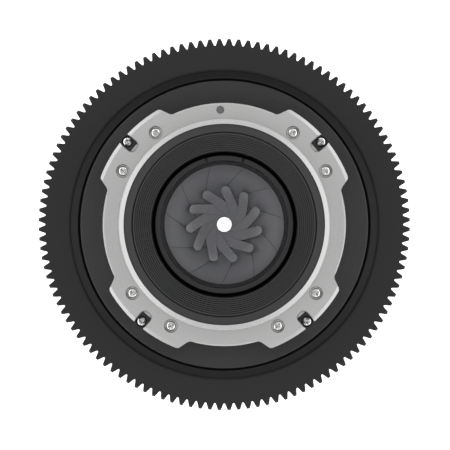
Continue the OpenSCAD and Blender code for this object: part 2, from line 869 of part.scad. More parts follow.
module rear_baffle() {
    rise = (baffle_cone_top_z - baffle_cone_low_z) / baffle_ribs;
    pitch = (baffle_cone_r - baffle_inner_r) / baffle_ribs;
    ribs = [
        for (i = [0:baffle_ribs - 1])
            for (share = [0, baffle_flat_share])
                [baffle_cone_r - pitch * (i + share), baffle_cone_top_z - rise * i]
    ];
    color(black)
        turned_solid(concat(
            [[seal_room_r, cell_step_z], [baffle_foot_r, cell_step_z], [baffle_foot_r, flange_z],
             [baffle_r, flange_z], [baffle_r, baffle_rim_z],
             [baffle_r - baffle_rim_w, baffle_rim_z - baffle_rim_drop],
             [baffle_r - baffle_rim_w, baffle_rim_z - baffle_groove_t],
             [baffle_cone_r, baffle_rim_z - baffle_groove_t]],
            ribs,
            [[baffle_inner_r, baffle_cone_low_z], [baffle_inner_r, cell_step_z + seal_room_t],
             [seal_room_r, cell_step_z + seal_room_t]]
        ));
}

module rear_seal() {
    color(rubber)
        rotate_extrude()
            translate([cell_rim_r + seat_gap + seal_d / 2, cell_step_z + seat_gap + seal_d / 2])
                circle(d = seal_d);
}

module rear_cell() {
    color(black)
        turned_solid([[iris_clear_r, cover_top_z], [cell_flange_r, cover_top_z],
                      [cell_flange_r, barrel_rear_z], [cell_neck_r, barrel_rear_z],
                      [cell_neck_r, cell_step_z], [cell_rim_r, cell_step_z], [cell_rim_r, cell_rim_z],
                      [cell_thread_r, cell_rim_z], [cell_thread_r, rear_nut_z], [cell_bore_r, rear_nut_z],
                      [cell_bore_r, rear_seat_z], [iris_clear_r, rear_seat_z]]);
}

module rear_retaining_ring() {
    top_z = rear_nut_z + rear_nut_t;
    slot_len = cell_thread_r - rear_nut_in_r + 2 * over;
    color(dark)
        difference() {
            clamp_ring(rear_nut_in_r, cell_thread_r - seat_gap, rear_nut_z, top_z,
                       rear_glass_r, rear_1_back);
            for (a = rear_nut_slot_angles)
                rotate(a)
                    translate([rear_nut_in_r - over, -rear_nut_slot_w / 2, top_z - rear_nut_slot_t])
                        cube([slot_len, rear_nut_slot_w, rear_nut_slot_t + over]);
        }
}

module rear_spacer() {
    groove_count = 7;
    groove_t = 0.35;
    lift = seat_lift(rear_glass_r, iris_clear_r, rear_1_front);
    step = (rear_spacer_len - lift) / groove_count;
    grooves = [
        for (i = [groove_count - 1:-1:0])
            for (p = [[0, 1], [0, 0.75], [groove_t, 0.7], [groove_t, 0.35]])
                [iris_clear_r + p[0], rear_spacer_z + step * (i + p[1])]
    ];
    color(black)
        turned_solid(concat(
            [[iris_clear_r, rear_spacer_z], [rear_glass_r, rear_spacer_z], [rear_glass_r, rear_glass_z]],
            grooves
        ));
}

module rear_element_1() {
    color(glass)
        lens(rear_glass_r, rear_glass_z, rear_nut_z, rear_1_front, rear_1_back);
}

module rear_element_2() {
    color(glass)
        lens(rear_glass_r, rear_cement_z + cement_t, rear_spacer_z, -rear_cement, rear_2_back);
}

module rear_element_3() {
    color(glass)
        lens(rear_glass_r, rear_seat_z, rear_cement_z, rear_3_front, rear_cement);
}

// Sweep of the iris drive pin, cut from the walls that it crosses
module pin_sweep(from_r, to_r) {
    spare = pin_slot_spare;
    half = pin_shank_r + pin_slot_gap;
    ring_sector(from_r, to_r, pin_z - half, pin_z + half, pin_angle - iris_turn - spare, pin_angle + spare);
}

module iris_case() {
    color(black)
        difference() {
            turned_solid([[iris_open_r, iris_case_z], [iris_case_r, iris_case_z], [iris_case_r, cover_z],
                          [cam_room_r, cover_z], [cam_room_r, cam_z - run_gap],
                          [chamber_r, cam_z - run_gap], [chamber_r, iris_floor_z],
                          [iris_open_r, iris_floor_z]]);
            for (k = [0:blade_count - 1])
                rotate(k * blade_pitch)
                    translate(blade_pivot)
                        post(blade_pin_r + run_gap, iris_case_z + small_bevel, iris_floor_z + over);
            pin_sweep(chamber_r - over, iris_case_r + over);
        }
}

module iris_cover() {
    color(black)
        tube(iris_clear_r, iris_case_r, cover_z, cover_top_z);
}

module iris_cam_ring() {
    ends = [cam_path[0], cam_path[cam_steps]];
    color(brass)
        difference() {
            tube(iris_clear_r, cam_outer_r, cam_z, cam_top_z);
            for (k = [0:blade_count - 1])
                rotate(k * blade_pitch) {
                    translate([0, 0, cam_z - over])
                        linear_extrude(iris_cam_t + 2 * over)
                            polygon(band(cam_path, cam_slot_half));
                    for (p = ends)
                        translate(p)
                            post(cam_slot_half, cam_z - over, cam_top_z + over);
                }
            rotate(pin_angle)
                radial_post(pin_tip_r + seat_gap, pin_inner_r - small_bevel, cam_outer_r + over, pin_z);
        }
}

// Blade number k: a thin tilted plate with a pivot pin to the front and a drive pin to the rear
module iris_blade(k) {
    pivot_z = blade_z + plate_z(blade_pivot);
    drive_z = blade_z + plate_z(blade_drive);
    color(dark)
        rotate(k * blade_pitch) {
            translate([0, 0, blade_z])
                rotate(a = blade_tilt, v = concat(polar(1, blade_tilt_angle), 0))
                    linear_extrude(blade_t, center = true)
                        polygon(blade_outline);
            translate(blade_pivot)
                post(blade_pin_r, iris_floor_z - iris_floor_t / 2, pivot_z + rivet_t);
            translate(blade_drive)
                post(blade_pin_r, drive_z - rivet_t, cam_top_z - small_bevel);
        }
}

// Toothed band whose wall reaches well into the ring that carries it
module gear(z) {
    bevel_r = gear_tip_r - gear_bevel;
    intersection() {
        translate([0, 0, z])
            linear_extrude(gear_w)
                polygon(gear_outline());
        turned_solid([[ring_r - gear_root_in, z - over], [bevel_r - over, z - over],
                      [gear_tip_r + over, z + gear_bevel + over],
                      [gear_tip_r + over, z + gear_w - gear_bevel - over],
                      [bevel_r - over, z + gear_w + over], [ring_r - gear_root_in, z + gear_w + over]]);
    }
}

// Groove in a ring's end face for a stop pin at radius r that goes from angle a to angle a + turn
module stop_groove(r, z0, z1, a, turn) {
    half = stop_pin_r + stop_room;
    spare = stop_spare;
    ring_sector(r - half, r + half, z0, z1, min(a, a + turn) - spare, max(a, a + turn) + spare);
}

module iris_ring() {
    nut_floor_z = ring_nut_z - ring_gap / 2;
    nut_room_r = ring_nut_r + ring_nut_room;
    groove_z = iris_front_z + stop_out + stop_room;
    color(black)
        difference() {
            union() {
                turned_solid([[ring_bore_r, iris_front_z], [ring_r - small_bevel, iris_front_z],
                              [ring_r, iris_front_z + small_bevel], [ring_r, iris_rear_z],
                              [ring_bore_r, iris_rear_z]]);
                gear(iris_rear_z - gear_w);
            }
            turned_solid([[ring_bore_r - over, nut_floor_z], [nut_room_r, nut_floor_z],
                          [nut_room_r, iris_rear_z - ring_face_bevel_t],
                          [nut_room_r + ring_face_bevel, iris_rear_z],
                          [nut_room_r + ring_face_bevel, iris_rear_z + over],
                          [ring_bore_r - over, iris_rear_z + over]]);
            tube(ring_bore_r - over, journal_r + ring_bush_t + seat_gap,
                 ring_bush_z, ring_bush_z + ring_bush_w);
            rotate(pin_angle)
                radial_post(pin_shank_r + seat_gap, journal_r, gear_tip_r + over, pin_z);
            stop_groove(iris_stop_r, iris_front_z - over, groove_z, iris_stop_angle, iris_turn);
        }
}

module iris_ring_bush() {
    color(white_plastic)
        tube(journal_r + run_gap, journal_r + ring_bush_t, ring_bush_z, ring_bush_z + ring_bush_w);
}

module iris_ring_nut() {
    top_z = ring_nut_z + ring_nut_t;
    color(black)
        turned_solid([[journal_r + seat_gap, ring_nut_z], [ring_nut_r, ring_nut_z],
                      [ring_nut_r, top_z - ring_nut_cone], [journal_r + ring_nut_land, top_z],
                      [journal_r + ring_nut_edge, top_z],
                      [journal_r + seat_gap, top_z - ring_nut_edge]]);
}

module iris_drive_pin() {
    color(steel)
        rotate(pin_angle) {
            radial_post(pin_tip_r, pin_inner_r, pin_step_r + eps, pin_z);
            radial_post(pin_shank_r, pin_step_r, pin_outer_r, pin_z);
        }
}

module iris_stop_pin() {
    color(steel)
        rotate(iris_stop_angle)
            translate([iris_stop_r, 0, 0])
                post(stop_pin_r, collar_rear_z - iris_stop_in, iris_front_z + stop_out);
}

module focus_stop_pin() {
    color(steel)
        rotate(focus_stop_angle)
            translate([focus_stop_r, 0, 0])
                post(stop_pin_r, focus_rear_z - stop_out, collar_web_z + focus_stop_in);
}

module main_barrel() {
    slot_end_z = follower_z - focus_travel;
    tube_room_r = cam_tube_r + cam_tube_side_gap;
    tube_room_z = max(collar_web_z, cam_tube_rear_z + cam_tube_end_gap);
    color(black)
        difference() {
            turned_solid([[web_bore_r, web_z], [guide_bore_r, web_z], [guide_bore_r, front_rear_z],
                          [guide_r, front_rear_z], [guide_r, tube_room_z], [tube_room_r, tube_room_z],
                          [tube_room_r, collar_web_z], [collar_room_r, collar_web_z],
                          [collar_room_r, collar_front_z],
                          [ring_r - small_bevel, collar_front_z], [ring_r, collar_front_z + small_bevel],
                          [ring_r, collar_rear_z - small_bevel], [ring_r - small_bevel, collar_rear_z],
                          [journal_r, collar_rear_z], [journal_r, barrel_rear_z],
                          [case_bore_r, barrel_rear_z], [case_bore_r, iris_case_z],
                          [web_bore_r, iris_case_z]]);
            tube(pocket_in_r, pocket_out_r, iris_case_z, barrel_rear_z + over);
            pin_sweep(case_bore_r - over, journal_r + over);
            at_base_screws()
                post(screw_r + seat_gap, base_screw_end_z - small_bevel, barrel_rear_z + over);
            at_front_screws()
                post(screw_r + seat_gap, front_rear_z - over, front_rear_z + screw_grip + small_bevel);
            for (a = follower_angles)
                rotate(a) {
                    translate([guide_bore_r - over, -follower_half, slot_end_z])
                        cube([guide_wall + 2 * over, 2 * follower_half, focus_travel]);
                    for (z = [follower_z, slot_end_z])
                        radial_post(follower_half, guide_bore_r - over, guide_r + over, z);
                }
            rotate(iris_stop_angle)
                translate([iris_stop_r, 0, 0])
                    post(stop_pin_r + seat_gap, collar_rear_z - iris_stop_in, collar_rear_z + over);
            rotate(focus_stop_angle)
                translate([focus_stop_r, 0, 0])
                    post(stop_pin_r + seat_gap, collar_web_z - over, collar_web_z + focus_stop_in);
        }
}

module focus_ring() {
    groove_z = focus_rear_z - stop_out - stop_room;
    color(black)
        difference() {
            union() {
                turned_solid([[cam_tube_r + seat_gap, focus_front_z], [ring_r - small_bevel, focus_front_z],
                              [ring_r, focus_front_z + small_bevel], [ring_r, focus_rear_z - small_bevel],
                              [ring_r - small_bevel, focus_rear_z], [cam_tube_r + seat_gap, focus_rear_z]]);
                gear(focus_gear_z);
            }
            rotate(key_angle)
                translate([cam_tube_r - over, -key_w / 2, focus_front_z - over])
                    cube([key_out_r - cam_tube_r + over, key_w, key_z + key_len - focus_front_z + over]);
            stop_groove(focus_stop_r, groove_z, focus_rear_z + over, focus_stop_angle, -focus_turn);
        }
}

// Helical slot cutter: the follower's path as the tube turns, with a drilled hole at each end
module helix_cut() {
    r0 = cam_tube_in_r - over;
    r1 = cam_tube_r + over;
    rings = [
        for (i = [0:helix_steps])
            let (
                a = -focus_turn * i / helix_steps,
                z = follower_z - focus_travel * i / helix_steps
            )
            for (p = [[r0, -1], [r1, -1], [r1, 1], [r0, 1]])
                concat(polar(p[0], a), z + p[1] * follower_half)
    ];
    last = helix_steps * 4;
    ends = [[0, 1, 2], [0, 2, 3], [last, last + 2, last + 1], [last, last + 3, last + 2]];
    sides = [
        for (i = [0:helix_steps - 1])
            for (j = [0:3])
                let (
                    a = 4 * i + j,
                    b = 4 * i + (j + 1) % 4
                )
                each [[a, a + 4, b], [b, a + 4, b + 4]]
    ];
    polyhedron(rings, concat(ends, sides));
    for (share = [0, 1])
        rotate(-focus_turn * share)
            radial_post(follower_half + slot_relief, r0, r1, follower_z - focus_travel * share);
}

module focus_cam_tube() {
    bush_room_r = guide_r + focus_bush_t + seat_gap;
    color(brass)
        difference() {
            tube(cam_tube_in_r, cam_tube_r, cam_tube_front_z, cam_tube_rear_z);
            tube(cam_tube_in_r - over, bush_room_r,
                 cam_tube_front_z - over, cam_tube_front_z + focus_bush_w);
            tube(cam_tube_in_r - over, bush_room_r,
                 cam_tube_rear_z - focus_bush_w, cam_tube_rear_z + over);
            for (a = follower_angles)
                rotate(a)
                    helix_cut();
            rotate(key_angle)
                translate([key_in_r, -key_w / 2, key_z])
                    cube([cam_tube_wall + over, key_w, key_len]);
        }
}

module focus_key() {
    color(steel)
        rotate(key_angle)
            translate([key_in_r, -key_w / 2, key_z])
                cube([key_out_r - key_in_r, key_w, key_len]);
}

module focus_bush(z) {
    color(white_plastic)
        tube(guide_r + run_gap, guide_r + focus_bush_t, z, z + focus_bush_w);
}

module focus_bush_rear() {
    focus_bush(cam_tube_rear_z - focus_bush_w);
}

module focus_bush_front() {
    focus_bush(cam_tube_front_z);
}

module focus_cell() {
    lip_r = focus_glass_r - focus_lip_w;
    lip_z = focus_seat_z + seat_lift(focus_glass_r, lip_r, focus_3_back);
    color(dark)
        difference() {
            turned_solid([[lip_r, lip_z], [focus_glass_r, focus_seat_z],
                          [focus_bore_r, focus_seat_z], [focus_bore_r, focus_nut_z],
                          [focus_thread_r, focus_nut_z], [focus_thread_r, focus_cell_front_z],
                          [focus_cell_r - small_bevel, focus_cell_front_z],
                          [focus_cell_r, focus_cell_front_z + small_bevel],
                          [focus_cell_r, focus_cell_rear_z - small_bevel],
                          [focus_cell_r - small_bevel, focus_cell_rear_z], [lip_r, focus_cell_rear_z]]);
            for (a = follower_angles)
                rotate(a)
                    radial_post(follower_screw_r + seat_gap, follower_screw_end_r - small_bevel,
                                focus_cell_r + over, follower_z);
        }
}

module cam_followers() {
    color(brass)
        for (a = follower_angles)
            rotate(a)
                difference() {
                    radial_post(follower_r, follower_in_r, follower_out_r, follower_z);
                    radial_post(follower_screw_r + seat_gap, follower_in_r - over,
                                follower_out_r + over, follower_z);
                    radial_post(follower_head_r + seat_gap, follower_out_r - follower_head_t,
                                follower_out_r + over, follower_z);
                }
}

module follower_screws() {
    slot_len = 2 * follower_head_r + 2 * over;
    color(steel)
        for (a = follower_angles)
            rotate(a)
                difference() {
                    union() {
                        radial_post(follower_screw_r, follower_screw_end_r,
                                    follower_out_r - eps, follower_z);
                        radial_post(follower_head_r, follower_out_r - follower_head_t,
                                    follower_out_r, follower_z);
                    }
                    translate([follower_out_r - follower_slot_t, -follower_slot_w / 2,
                               follower_z - slot_len / 2])
                        cube([follower_slot_t + over, follower_slot_w, slot_len]);
                }
}

module focus_element_1() {
    color(glass)
        lens(focus_glass_r, focus_nut_z, focus_glass_z, focus_1_front, focus_1_back);
}

module focus_element_2() {
    color(glass)
        lens(focus_glass_r, focus_spacer_z, focus_cement_z - cement_t, focus_2_front, -focus_cement);
}

module focus_element_3() {
    color(glass)
        lens(focus_glass_r, focus_cement_z, focus_seat_z, focus_cement, focus_3_back);
}

module focus_spacer() {
    color(black)
        tube(focus_glass_r - focus_lip_w, focus_glass_r, focus_glass_z, focus_spacer_z);
}

module focus_retaining_ring() {
    color(dark)
        clamp_ring(focus_glass_r - focus_lip_w, focus_thread_r - seat_gap,
                   focus_nut_z, focus_nut_z - focus_nut_t, focus_glass_r, focus_1_front);
}

module front_ring() {
    filter_room_z = front_z + filter_len;
    color(black)
        difference() {
            turned_solid([[guide_bore_r, front_web_z], [front_flange_r + seat_gap, front_web_z],
                          [front_flange_r + seat_gap, filter_room_z], [filter_r, filter_room_z],
                          [filter_r, front_z], [front_r - small_bevel, front_z],
                          [front_r, front_z + small_bevel], [front_r, front_rear_z - small_bevel],
                          [front_r - small_bevel, front_rear_z], [guide_bore_r, front_rear_z]]);
            at_front_screws() {
                post(screw_r + screw_gap, front_web_z - over, front_rear_z + over);
                post(front_counterbore_r, front_web_z - over, front_web_z + screw_head_t + small_bevel);
            }
        }
}

module front_ring_screws() {
    color(steel)
        at_front_screws()
            translate([0, 0, front_web_z + small_bevel])
                mirror([0, 0, 1])
                    cross_screw(screw_head_r, screw_head_t, front_web_t - small_bevel + screw_grip);
}

module front_cell() {
    inner_lip_r = inner_glass_r - inner_lip_w;
    inner_lip_z = inner_seat_z + seat_lift(inner_glass_r, inner_lip_r, front_2_back);
    front_lip_r = front_glass_r - front_seat_w;
    nut_low_z = inner_nut_z - inner_nut_t;
    step_w = (front_flange_r - front_land_r) / front_bezel_steps;
    step_t = (front_cell_z - front_bezel_z) / front_bezel_steps;
    bezel = [
        for (i = [0:front_bezel_steps])
            for (z = [i - 1, i])
                [front_flange_r - step_w * i, front_bezel_z + step_t * max(z, 0)]
    ];
    color(black)
        turned_solid([[inner_lip_r, spigot_end_z], [spigot_r, spigot_end_z], [spigot_r, front_web_z],
                      [front_flange_r, front_web_z], each bezel,
                      [front_thread_r, front_cell_z], [front_thread_r, front_nut_z],
                      [front_bore_r, front_nut_z], [front_bore_r, front_seat_z],
                      [front_lip_r, front_seat_z],
                      [inner_thread_r, max(front_seat_z, nut_low_z) + small_bevel],
                      [inner_thread_r, inner_nut_z], [inner_bore_r, inner_nut_z],
                      [inner_bore_r, inner_seat_z], [inner_glass_r, inner_seat_z],
                      [inner_lip_r, inner_lip_z]]);
}

module front_element_1() {
    color(glass)
        lens(front_glass_r, front_nut_z, front_seat_z, front_1_front, front_1_back);
}

module front_retaining_ring() {
    color(dark)
        clamp_ring(front_glass_r - front_lip_w, front_thread_r - seat_gap,
                   front_nut_z, front_nut_z - front_nut_t, front_glass_r, front_1_front);
}

module front_element_2() {
    color(glass)
        lens(inner_glass_r, inner_nut_z, inner_seat_z, front_2_front, front_2_back);
}

module front_inner_ring() {
    color(dark)
        clamp_ring(inner_glass_r - inner_lip_w, inner_thread_r - seat_gap,
                   inner_nut_z, inner_nut_z - inner_nut_t, inner_glass_r, front_2_front);
}

mount_flange();
mount_screws();
flange_shim();
mount_dowel();
rear_base();
base_screws();
rear_baffle();
rear_seal();
rear_cell();
rear_retaining_ring();
rear_spacer();
rear_element_1();
rear_element_2();
rear_element_3();
iris_case();
iris_cover();
iris_cam_ring();
iris_ring();
iris_ring_bush();
iris_ring_nut();
iris_drive_pin();
iris_stop_pin();
for (k = [0:blade_count - 1])
    iris_blade(k);
main_barrel();
focus_ring();
focus_cam_tube();
focus_key();
focus_bush_rear();
focus_bush_front();
focus_stop_pin();
focus_cell();
cam_followers();
follower_screws();
focus_element_1();
focus_element_2();
focus_element_3();
focus_spacer();
focus_retaining_ring();
front_ring();
front_ring_screws();
front_cell();
front_element_1();
front_retaining_ring();
front_element_2();
front_inner_ring();
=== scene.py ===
import math

import bmesh
import bpy
from mathutils import Matrix, Vector


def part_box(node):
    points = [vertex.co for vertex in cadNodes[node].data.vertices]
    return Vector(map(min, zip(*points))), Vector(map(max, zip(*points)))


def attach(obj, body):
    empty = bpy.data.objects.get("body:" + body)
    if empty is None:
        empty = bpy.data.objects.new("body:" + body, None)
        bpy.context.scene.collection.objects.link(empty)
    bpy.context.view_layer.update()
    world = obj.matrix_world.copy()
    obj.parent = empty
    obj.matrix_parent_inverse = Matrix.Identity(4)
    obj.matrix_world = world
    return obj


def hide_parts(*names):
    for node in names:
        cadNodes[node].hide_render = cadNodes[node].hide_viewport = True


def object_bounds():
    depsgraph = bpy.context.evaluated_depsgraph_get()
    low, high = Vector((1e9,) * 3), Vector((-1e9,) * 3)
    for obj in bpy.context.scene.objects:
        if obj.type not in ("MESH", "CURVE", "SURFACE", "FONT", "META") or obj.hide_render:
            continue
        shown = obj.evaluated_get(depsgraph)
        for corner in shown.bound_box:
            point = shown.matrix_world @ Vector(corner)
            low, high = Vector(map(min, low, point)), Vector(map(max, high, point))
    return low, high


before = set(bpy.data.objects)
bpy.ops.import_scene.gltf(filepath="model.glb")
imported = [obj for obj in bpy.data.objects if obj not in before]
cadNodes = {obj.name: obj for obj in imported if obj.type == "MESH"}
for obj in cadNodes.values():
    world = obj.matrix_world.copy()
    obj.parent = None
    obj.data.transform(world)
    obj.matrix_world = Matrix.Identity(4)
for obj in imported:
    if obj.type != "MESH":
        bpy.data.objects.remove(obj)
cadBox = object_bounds()
scene = bpy.context.scene
mm = 0.001
print("frame loaded,", len(cadNodes), "nodes")


def srgb(code):
    parts = [int(code[i:i + 2], 16) / 255 for i in (1, 3, 5)]
    return [c / 12.92 if c <= 0.04045 else ((c + 0.055) / 1.055) ** 2.4 for c in parts] + [1.0]


def addNode(tree, kind, settings={}, links={}):
    node = tree.nodes.new(kind)
    for name, value in settings.items():
        if isinstance(name, int) or name in node.inputs:
            node.inputs[name].default_value = value
        else:
            setattr(node, name, value)
    for name, (source, output) in links.items():
        tree.links.new(source.outputs[output], node.inputs[name])
    return node


# studio: the lens stands on its front ring and the camera looks straight down its axis
studio = {
    "cameraHeight": 0.8,
    "lens": 248.0,
    "shift": (0.0016, -0.0011),
    "clip": (0.01, 50),
    "clearBounces": 40,   # the way through all the glass crosses sixteen faces
    "floorSize": 12.0,
    "floorPaper": "#f6f6f5",
    "floorRough": 0.9,
    "floorGlow": 1.08,
    "ring": 0.58,   # soft light all round the camera
    "ringBand": (0.52, 0.74),   # heights in the sky between which it comes in
    "middle": 0.35,   # share of it where the camera stands
    "middleBand": (0.93, 0.985),
    "horizon": 0.08,
    "horizonBand": (0.02, 0.3),
    "fill": (0.13, -0.13),   # level, and how much it falls towards +Y
    "backdrop": 0.93,
}

cameraData = bpy.data.cameras.new("camera")
cameraData.lens = studio["lens"]
cameraData.shift_x, cameraData.shift_y = studio["shift"]
cameraData.clip_start, cameraData.clip_end = studio["clip"]
camera = bpy.data.objects.new("camera", cameraData)
camera.location = (0, 0, studio["cameraHeight"])
scene.collection.objects.link(camera)
scene.camera = camera
scene.view_settings.view_transform = "Standard"
scene.view_settings.look = "None"
scene.cycles.transparent_max_bounces = studio["clearBounces"]

bpy.ops.object.select_all(action="DESELECT")
bpy.ops.mesh.primitive_plane_add(size=studio["floorSize"], location=(0, 0, cadBox[0][2]))
floor = bpy.context.object
floor.name = "floor"
floorPaper = bpy.data.materials.new("studio_paper")
floorPaper.use_nodes = True
floorShader = floorPaper.node_tree.nodes["Principled BSDF"]
floorShader.inputs["Base Color"].default_value = srgb(studio["floorPaper"])
floorShader.inputs["Roughness"].default_value = studio["floorRough"]
floorShader.inputs["Emission Color"].default_value = (1, 1, 1, 1)
floorShader.inputs["Emission Strength"].default_value = studio["floorGlow"]
floor.data.materials.append(floorPaper)

world = bpy.data.worlds.new("studio")
world.use_nodes = True
scene.world = world
sky = world.node_tree
skyPlace = addNode(sky, "ShaderNodeTexCoord")
skyPart = addNode(sky, "ShaderNodeSeparateXYZ", {}, {0: (skyPlace, "Generated")})
low, high = studio["ringBand"]
ring = addNode(sky, "ShaderNodeMapRange",
               {"interpolation_type": "SMOOTHSTEP", "From Min": low, "From Max": high,
                "To Max": studio["ring"]}, {"Value": (skyPart, "Z")})
low, high = studio["middleBand"]
middle = addNode(sky, "ShaderNodeMapRange",
                 {"interpolation_type": "SMOOTHSTEP", "From Min": low, "From Max": high,
                  "To Min": 1.0, "To Max": studio["middle"]}, {"Value": (skyPart, "Z")})
zenith = addNode(sky, "ShaderNodeMath", {"operation": "MULTIPLY"},
                 {0: (ring, "Result"), 1: (middle, "Result")})
low, high = studio["horizonBand"]
horizon = addNode(sky, "ShaderNodeMapRange",
                  {"interpolation_type": "SMOOTHSTEP", "From Min": low, "From Max": high,
                   "To Min": studio["horizon"], "To Max": 0.0}, {"Value": (skyPart, "Z")})
level, fall = studio["fill"]
fill = addNode(sky, "ShaderNodeMath", {"operation": "MULTIPLY_ADD", 1: fall, 2: level, "use_clamp": True},
               {0: (skyPart, "Y")})
skySum = addNode(sky, "ShaderNodeMath", {"operation": "ADD"}, {0: (zenith, 0), 1: (horizon, "Result")})
skyLevel = addNode(sky, "ShaderNodeMath", {"operation": "ADD"}, {0: (skySum, 0), 1: (fill, 0)})
rays = addNode(sky, "ShaderNodeLightPath")
seen = addNode(sky, "ShaderNodeMix", {3: studio["backdrop"]},
               {0: (rays, "Is Camera Ray"), 2: (skyLevel, 0)})
sky.links.new(seen.outputs[0], sky.nodes["Background"].inputs["Strength"])
sky.nodes["Background"].inputs["Color"].default_value = (1, 1, 1, 1)

softboxes = {   # place, width, height, watts
    "overhead": ((0, 0, 1.3), 0.26, 2.8, 1.6),
    "left_box": ((-0.72, 0, 1.1), 0.4, 0.8, 1.4),
    "right_box": ((0.72, 0, 1.1), 0.4, 0.8, 1.4),
    "left_strip": ((-1.1, 0, 0.6), 0.25, 1.0, 1.4),
    "right_strip": ((1.1, 0, 0.6), 0.25, 1.0, 1.4),
    "upper_left": ((-0.56, 0.56, 1.02), 0.42, 0.42, 1.1),
    "upper_right": ((0.56, 0.56, 1.02), 0.42, 0.42, 1.1),
    "lower_left": ((-0.6, -0.52, 1.02), 0.42, 0.42, 0.8),
    "lower_right": ((0.6, -0.52, 1.02), 0.42, 0.42, 0.8),
}
for name, (place, width, height, watts) in softboxes.items():
    data = bpy.data.lights.new(name, "AREA")
    data.shape = "RECTANGLE"
    data.size, data.size_y = width, height
    data.energy = watts
    lamp = bpy.data.objects.new(name, data)
    away = Vector(place).normalized()
    side = Vector((0, 1, 0)).cross(away).normalized()
    turn = Matrix((side, away.cross(side), away)).transposed().to_4x4()
    lamp.matrix_world = Matrix.Translation(place) @ turn
    lamp.visible_camera = False
    scene.collection.objects.link(lamp)
print("studio ready")

latheSlope = -0.62   # the tool's path on a wall, against its path on a face
noiseBand = {"From Min": 0.3, "From Max": 0.7}   # the noise seldom leaves this band
undressed = set(cadNodes)


def latheCoords(tree, coords, spec):
    # a point's distance along the tool's path, and its angle, so that marks run round the axis
    flat = addNode(tree, "ShaderNodeVectorMath", {"operation": "MULTIPLY", 1: (1, 1, 0)},
                   {0: (coords, "Object")})
    radius = addNode(tree, "ShaderNodeVectorMath", {"operation": "LENGTH"}, {0: (flat, "Vector")})
    split = addNode(tree, "ShaderNodeSeparateXYZ", {}, {0: (coords, "Object")})
    path = addNode(tree, "ShaderNodeMath", {"operation": "MULTIPLY_ADD", 1: latheSlope},
                   {0: (split, "Z"), 2: (radius, "Value")})
    steps = addNode(tree, "ShaderNodeMath", {"operation": "DIVIDE", 1: spec["pitch"]}, {0: (path, 0)})
    lift = addNode(tree, "ShaderNodeCombineXYZ", {}, {"Z": (steps, 0)})
    around = addNode(tree, "ShaderNodeVectorMath", {"operation": "NORMALIZE"}, {0: (flat, "Vector")})
    return addNode(tree, "ShaderNodeVectorMath",
                   {"operation": "MULTIPLY_ADD", 1: (spec["streak"], spec["streak"], 0)},
                   {0: (around, "Vector"), 2: (lift, "Vector")})


def grain(tree, shader, source, output, spec):
    # one noise gives the roughness, the shade and the relief of a finish
    noise = addNode(tree, "ShaderNodeTexNoise",
                    {"Scale": spec["scale"], "Detail": spec.get("detail", 2.0), "Roughness": 0.55},
                    {"Vector": (source, output)})
    smoothest, roughest = spec["rough"]
    rough = addNode(tree, "ShaderNodeMapRange", {**noiseBand, "To Min": smoothest, "To Max": roughest},
                    {"Value": (noise, "Fac")})
    tree.links.new(rough.outputs["Result"], shader.inputs["Roughness"])
    share = addNode(tree, "ShaderNodeMapRange", noiseBand, {"Value": (noise, "Fac")})
    darker, lighter = spec["shades"]
    shade = addNode(tree, "ShaderNodeMix", {"data_type": "RGBA", 6: srgb(darker), 7: srgb(lighter)},
                    {0: (share, "Result")})
    if "outwardTone" in spec:   # the colour turns lighter away from the axis: colour, from and to
        outwardTone, near, far = spec["outwardTone"]
        flat = addNode(tree, "ShaderNodeVectorMath", {"operation": "MULTIPLY", 1: (1, 1, 0)},
                       {0: (source, output)})
        away = addNode(tree, "ShaderNodeVectorMath", {"operation": "LENGTH"}, {0: (flat, "Vector")})
        outwardShare = addNode(tree, "ShaderNodeMapRange", {"From Min": near, "From Max": far},
                       {"Value": (away, "Value")})
        shade = addNode(tree, "ShaderNodeMix", {"data_type": "RGBA", 7: srgb(outwardTone)},
                        {0: (outwardShare, "Result"), 6: (shade, 2)})
    if "recess" in spec:   # painted shade: corners and gaps are darkened by their ambient occlusion, where shade falls: reach, shade colour, least and most open
        reach, deep, least, most = spec["recess"]
        openness = addNode(tree, "ShaderNodeAmbientOcclusion", {"Distance": reach, "samples": 8})
        depth = addNode(tree, "ShaderNodeMapRange", {"From Min": least, "From Max": most},
                        {"Value": (openness, "AO")})
        shade = addNode(tree, "ShaderNodeMix", {"data_type": "RGBA", 6: srgb(deep)},
                        {0: (depth, "Result"), 7: (shade, 2)})
    tree.links.new(shade.outputs[2], shader.inputs["Base Color"])
    bump = addNode(tree, "ShaderNodeBump", {"Strength": spec["relief"], "Distance": spec["height"]},
                   {"Height": (noise, "Fac")})
    tree.links.new(bump.outputs["Normal"], shader.inputs["Normal"])


def newFinish(name, values, spec):
    # a finish with a pitch was turned on a lathe, and its grain runs round the axis
    material = bpy.data.materials.new(name)
    material.use_nodes = True
    tree = material.node_tree
    shader = tree.nodes["Principled BSDF"]
    for socket, value in values.items():
        shader.inputs[socket].default_value = value
    coords = addNode(tree, "ShaderNodeTexCoord")
    if "pitch" in spec:
        grain(tree, shader, latheCoords(tree, coords, spec), "Vector", spec)
    else:
        grain(tree, shader, coords, "Object", spec)
    return material


def dress(material, *names):
    for name in names:
        node = cadNodes[name]
        node.data.materials.clear()
        node.data.materials.append(material)
        undressed.discard(name)


